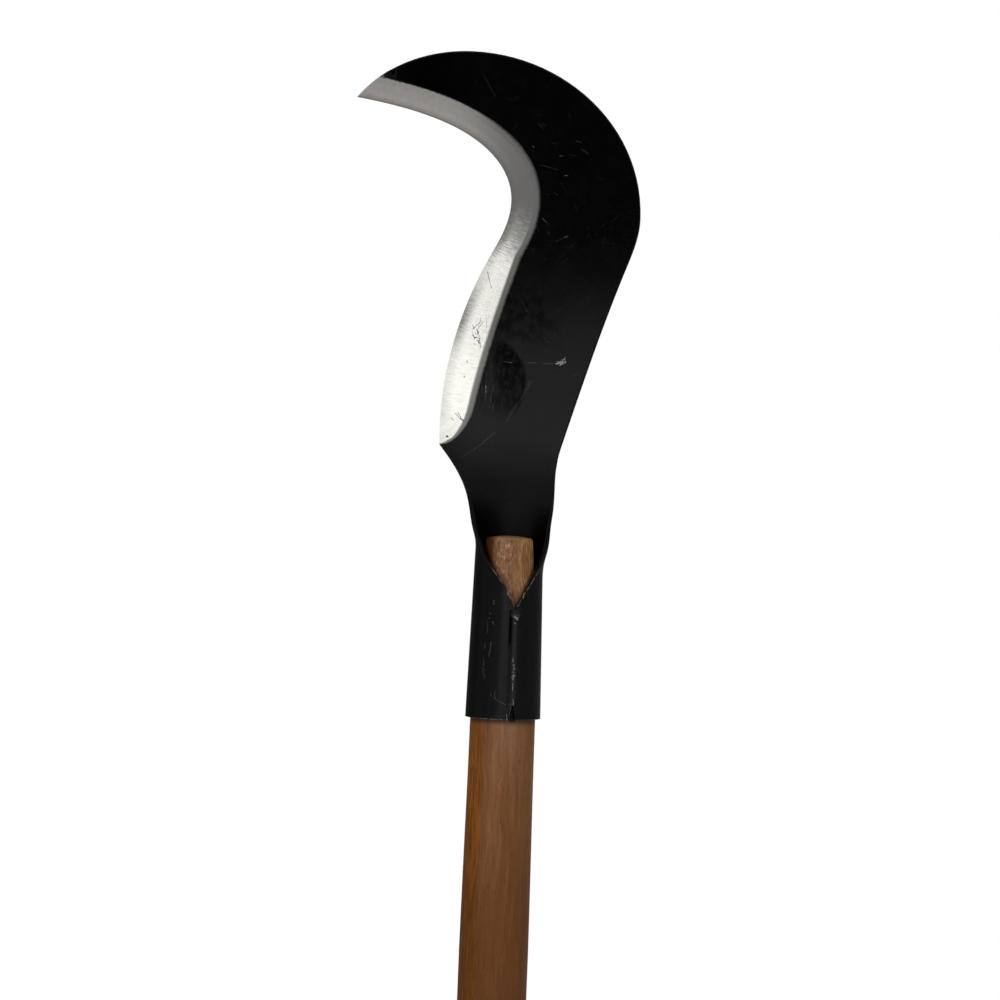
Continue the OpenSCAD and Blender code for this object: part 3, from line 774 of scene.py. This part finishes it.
for vert in blade:
    if vert.co.z < grind_start:
        continue
    bared_depth = shoulder_depth * ground_share(max(0.0, vert.co.z - heel_z))
    vert[ground_layer] = max(0.0, ground_off(vert) / bared_depth)
    grind_spot = grind_place(vert)
    for loop in vert.link_loops:
        loop[grind_layer].uv = grind_spot
plate.normal_update()
for vert in plate.verts:
    if vert.co.z < trough_top:
        to_middle = Vector((*trough_middle, vert.co.z)) - vert.co
        vert[inner_layer] = 1.0 if to_middle.dot(vert.normal) > 0 else 0.0
for edge in plate.edges:
    turn = edge.calc_face_angle(0.0)
    if turn > rim_angle:
        edge.smooth = False
        thickness = min(1.0 - ground_off(vert) / half_plate for vert in edge.verts)
        on_socket = min(vert.co.z for vert in edge.verts) < socket_rims
        weight = worn_round / rim_round if on_socket else thickness
        edge[rim_layer] = 0.0 if stays_sharp(edge, thickness) else weight
    elif turn > crease_angle:
        in_shoulder = ground_off(edge.verts[0]) > 0 and not edge.is_convex
        if in_shoulder or on_flat_face(edge):
            edge.smooth = False
for face in plate.faces:
    face.smooth = True
finishes = [plate_finish(blade_mid), rim_finish()]
head = add_piece("blade_and_socket", plate, finishes, "root", "blade_head")
if "custom_normal" in head.data.attributes:
    head.data.attributes.remove(head.data.attributes["custom_normal"])
rim_tool = head.modifiers.new("rim", "BEVEL")
rim_tool.limit_method = "WEIGHT"
rim_tool.width = rim_round
rim_tool.segments = 2
rim_tool.profile = 0.5
rim_tool.material = 1
rim_tool.use_clamp_overlap = False
flat_tool = head.modifiers.new("flat faces", "WEIGHTED_NORMAL")
flat_tool.keep_sharp = True


# The seam weld
# A run of weld metal laid up the socket's seam from just above the mouth to the foot of the V,
# with a drop where the torch was lifted. It is painted with the head.
seam_turn = math.radians(14)
seam_open = 0.007
socket_len = 0.0575
plate_t = 0.0025
socket_gap = 0.0002
bead_w = 0.0036
bead_h = 0.0015
drop_d = 0.0054
bead_len = socket_len - seam_open - 0.6 * drop_d
run_len = bead_len + drop_d / 2
bar_r = (bead_w ** 2 / 4 + bead_h ** 2) / (2 * bead_h)
outer_r = seat_r + socket_gap + plate_t - seam_open * socket_slim
ripple_pitch = 0.0017
ripple_share = 0.05
start_len = 0.003
uneven_scale = 180
least_r = 0.0002
run_sides = 24
run_cuts = 120
knock_z = mouth_z + 0.0265
weld_deep = (0.005, 0.005, 0.005, 1)
weld_pale = (0.010, 0.010, 0.010, 1)
chip_and_glint_grey = (0.27, 0.265, 0.25, 1)
# Each chip in the paint is written as the scratches of the plate are; the first one, on the drop, is a
# painted glint.
weld_chips_and_glint = [
    (3.9, 53.0, 6.8, 51.2, 1.5), (4.2, 49.9, 4.6, 49.4, 0.8), (4.0, 31.5, 4.1, 29.9, 0.6),
    (4.6, 28.6, 4.8, 26.0, 0.8), (4.3, 25.0, 4.5, 23.7, 0.8), (4.2, 22.9, 5.3, 22.6, 0.8),
    (4.5, 22.1, 4.5, 20.6, 0.8), (4.4, 19.0, 4.4, 15.3, 0.5), (4.8, 10.7, 5.2, 7.6, 0.5)]


def weld_finish():
    """Paint over rough weld metal, knocked bright along one side and chipped, with a painted glint on
    the drop.
    """
    material, tree, shader, place = new_finish("painted_weld")
    x, _, z = split(tree, place)
    pits = grain(tree, place, (0.0008, 0.0008, 0.0008), detail=4.0, roughness=0.65)
    knocked = times(tree, fade(tree, apart(tree, z, knock_z), 0.014, 0.005),
                    fade(tree, x, 0.0050, 0.0042), 0.20)
    knocked = calc(tree, "SUBTRACT", knocked, 0.2)
    rub_and_painted_light = most(tree, fade(tree, plus(tree, pits, knocked), 0.58, 0.68, 0.0, 0.7),
                  scored(tree, join(tree, x=x, z=z), pits, weld_chips_and_glint))
    dusty = mix(tree, fade(tree, pits, 0.35, 0.65), weld_deep, weld_pale)
    connect(tree, shader, Base_Color=mix(tree, rub_and_painted_light, dusty, chip_and_glint_grey),
            Metallic=times(tree, rub_and_painted_light, 0.4), Roughness=fade(tree, pits, 0.3, 0.7, 0.35, 0.55),
            Normal=relief(tree, pits, 0.00015))
    return material


def bead_radius(height):
    """Radius of the run at a height above its start: ripples, a tapered start and the end drop."""
    ripple = 1.0 + ripple_share * math.sin(2 * math.pi * height / ripple_pitch)
    uneven = 0.92 + 0.12 * noise.noise(Vector((0.0, 0.0, height * uneven_scale)))
    start = math.sin(min(1.0, height / start_len) * math.pi / 2) ** 0.5
    bar = bar_r * ripple * uneven * start if height < bead_len else 0.0
    drop = math.sqrt(max(0.0, (drop_d / 2) ** 2 - (height - bead_len) ** 2))
    return max(bar, drop, least_r)


run = bmesh.new()
bmesh.ops.create_cone(run, cap_ends=True, segments=run_sides, radius1=1.0, radius2=1.0, depth=run_len)
bmesh.ops.translate(run, verts=run.verts, vec=(0, 0, run_len / 2))
sides = [edge for edge in run.edges if abs(edge.verts[0].co.z - edge.verts[1].co.z) > run_len / 2]
bmesh.ops.subdivide_edges(run, edges=sides, cuts=run_cuts)
for vert in run.verts:
    radius = bead_radius(vert.co.z)
    vert.co.x *= radius
    vert.co.y *= radius
socket_lean = Matrix.Rotation(-math.atan(socket_slim), 3, "X")
bmesh.ops.rotate(run, verts=run.verts, cent=(0, 0, 0), matrix=socket_lean)
bmesh.ops.translate(run, verts=run.verts, vec=(0, -outer_r - bead_h + bar_r, mouth_z + seam_open))
bmesh.ops.rotate(run, verts=run.verts, cent=(0, 0, 0), matrix=Matrix.Rotation(seam_turn, 3, "Z"))
bmesh.ops.smooth_vert(run, verts=run.verts, factor=0.3,
                      use_axis_x=True, use_axis_y=True, use_axis_z=True)
for face in run.faces:
    face.smooth = True
add_piece("seam_weld_run", run, [weld_finish()], "root", "seam_weld")


# The fixing screw
# A zinc-plated pan-head screw driven through the back of the socket into the pole, which keeps
# the head from working loose. It is bought in.
zinc_deep = (0.42, 0.42, 0.41, 1)
zinc_pale = (0.62, 0.62, 0.60, 1)


def zinc_finish():
    """Bright zinc with a faint bloom."""
    material, tree, shader, place = new_finish("bright_zinc")
    bloom = grain(tree, place, (0.0012, 0.0012, 0.0012), detail=4.0)
    shader.inputs["Metallic"].default_value = 1.0
    connect(tree, shader, Base_Color=mix(tree, fade(tree, bloom, 0.3, 0.7), zinc_deep, zinc_pale),
            Roughness=fade(tree, bloom, 0.3, 0.7, 0.42, 0.28), Normal=relief(tree, bloom, 0.00002))
    return material


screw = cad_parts["fixing_screw"]
screw.material_slots[0].material = zinc_finish()


# The studio
# A pale floor under the butt, a white surround, soft lamps and a camera square to the blade.
# The surround is a dim room in the reflections, and plain white where the camera sees it.
floor_r = 3.0
floor_sides = 96
floor_deep = (0.78, 0.78, 0.77, 1)
floor_pale = (0.82, 0.82, 0.81, 1)
white = (1.0, 1.0, 1.0, 1)
window_grey = (0.70, 0.70, 0.71, 1)
gloom_grey = (0.004, 0.004, 0.004, 1)
view_centre = Vector((-0.0058, 0.010, 1.0183))
camera_away = 1.8
frame_width = 0.52
lean = math.radians(2.25)


def pale_floor():
    """Matt off-white sheet with a very faint unevenness, lit from below for the eye alone."""
    material, tree, shader, place = new_finish("pale_floor", roughness=0.9, specular=0.2)
    cloud = grain(tree, place, (0.5, 0.5, 0.5), detail=2.0)
    connect(tree, shader, Base_Color=mix(tree, cloud, floor_deep, floor_pale))
    shader.inputs["Emission Color"].default_value = white
    seen = shader_node(tree, "LightPath").outputs["Is Camera Ray"]
    out = shader_node(tree, "VectorMath", {0: place}, operation="LENGTH").outputs["Value"]
    glow = fade(tree, out, 0.3, floor_r * 0.8, 0.35, 0.95)
    connect(tree, shader, Emission_Strength=times(tree, seen, glow))
    return material


sheet = bmesh.new()
bmesh.ops.create_circle(sheet, cap_ends=True, segments=floor_sides, radius=floor_r)
floor_mesh = bpy.data.meshes.new("floor")
sheet.to_mesh(floor_mesh)
sheet.free()
floor_mesh.materials.append(pale_floor())
floor = bpy.data.objects.new("floor", floor_mesh)
bpy.context.scene.collection.objects.link(floor)

surround = bpy.data.worlds.new("surround")
surround.use_nodes = True
sky = surround.node_tree
seen = shader_node(sky, "LightPath").outputs["Is Camera Ray"]
way_x, way_y, way_z = split(sky, shader_node(sky, "TexCoord").outputs["Generated"])
aside = calc(sky, "ABSOLUTE", way_x)
# The room on the camera's side, which is lighter overhead and darker at the sides.
overhead = fade(sky, way_z, 0.02, 0.35, 0.15, 0.27)
room = fade(sky, aside, 0.45, 0.92, overhead, 0.12)
# The room behind the tool, with a pale wall straight behind it and low down.
behind = fade(sky, way_x, -0.3, 0.3, 0.05, 0.10)
low_down = times(sky, fade(sky, way_z, -0.10, -0.22), fade(sky, way_y, 0.25, 0.6))
back_wall = most(sky, fade(sky, way_y, 0.94, 0.985), low_down)
behind = fade(sky, back_wall, 0.0, 1.0, behind, fade(sky, way_x, -0.6, 0.6, 0.30, 0.55))
room = fade(sky, way_y, -0.1, 0.35, room, behind)
room = join(sky, room, room, room)
# A low window and the gloom above it, which the flat of the blade mirrors.
ahead = times(sky, fade(sky, aside, 0.45, 0.15), below(sky, way_y, 0.0))
window = times(sky, ahead, fade(sky, way_z, -0.070, 0.000), fade(sky, way_z, 0.060, 0.012))
room = mix(sky, window, room, window_grey)
gloom = times(sky, ahead, fade(sky, way_z, 0.035, 0.080), fade(sky, way_z, 0.36, 0.18))
room = mix(sky, gloom, room, gloom_grey)
sky.links.new(mix(sky, seen, room, white), sky.nodes["Background"].inputs["Color"])
bpy.context.scene.world = surround
bpy.context.scene.view_settings.view_transform = "Standard"


def soft_lamp(name, place, aim, size, watts, gloss):
    """A soft box that isn't seen itself; a lamp without gloss leaves no highlight on the paint."""
    lamp = bpy.data.lights.new(name, "AREA")
    lamp.shape = "RECTANGLE"
    lamp.size, lamp.size_y = size
    lamp.energy = watts
    holder = bpy.data.objects.new(name, lamp)
    holder.location = place
    holder.rotation_euler = (Vector(aim) - Vector(place)).to_track_quat("-Z", "Y").to_euler()
    holder.visible_camera = False
    holder.visible_glossy = gloss
    bpy.context.scene.collection.objects.link(holder)


soft_lamp("bevel_strip", (-0.225, -1.80, 1.36), (-0.225, 0.0, 1.36), (0.17, 0.54), 0.360, True)
soft_lamp("left_lamp", (-1.6, -1.9, 1.3), view_centre, (1.4, 1.6), 30.0, False)
soft_lamp("right_lamp", (1.6, -1.9, 1.1), view_centre, (1.4, 1.6), 25.0, False)
soft_lamp("top_lamp", (0.0, 0.3, 3.0), view_centre, (1.6, 1.6), 14.0, False)
soft_lamp("back_lamp", (0.9, 2.6, 1.3), view_centre, (1.6, 1.8), 40.0, False)

eye = bpy.data.cameras.new("camera")
eye.sensor_width = 36.0
eye.lens = eye.sensor_width * camera_away / frame_width
camera = bpy.data.objects.new("camera", eye)
right = Vector((math.cos(lean), 0.0, math.sin(lean)))
up = Vector((-math.sin(lean), 0.0, math.cos(lean)))
back = Vector((0.0, -1.0, 0.0))
turn = Matrix((right, up, back)).transposed().to_4x4()
camera.matrix_world = Matrix.Translation(view_centre + back * camera_away) @ turn
bpy.context.scene.collection.objects.link(camera)
bpy.context.scene.camera = camera
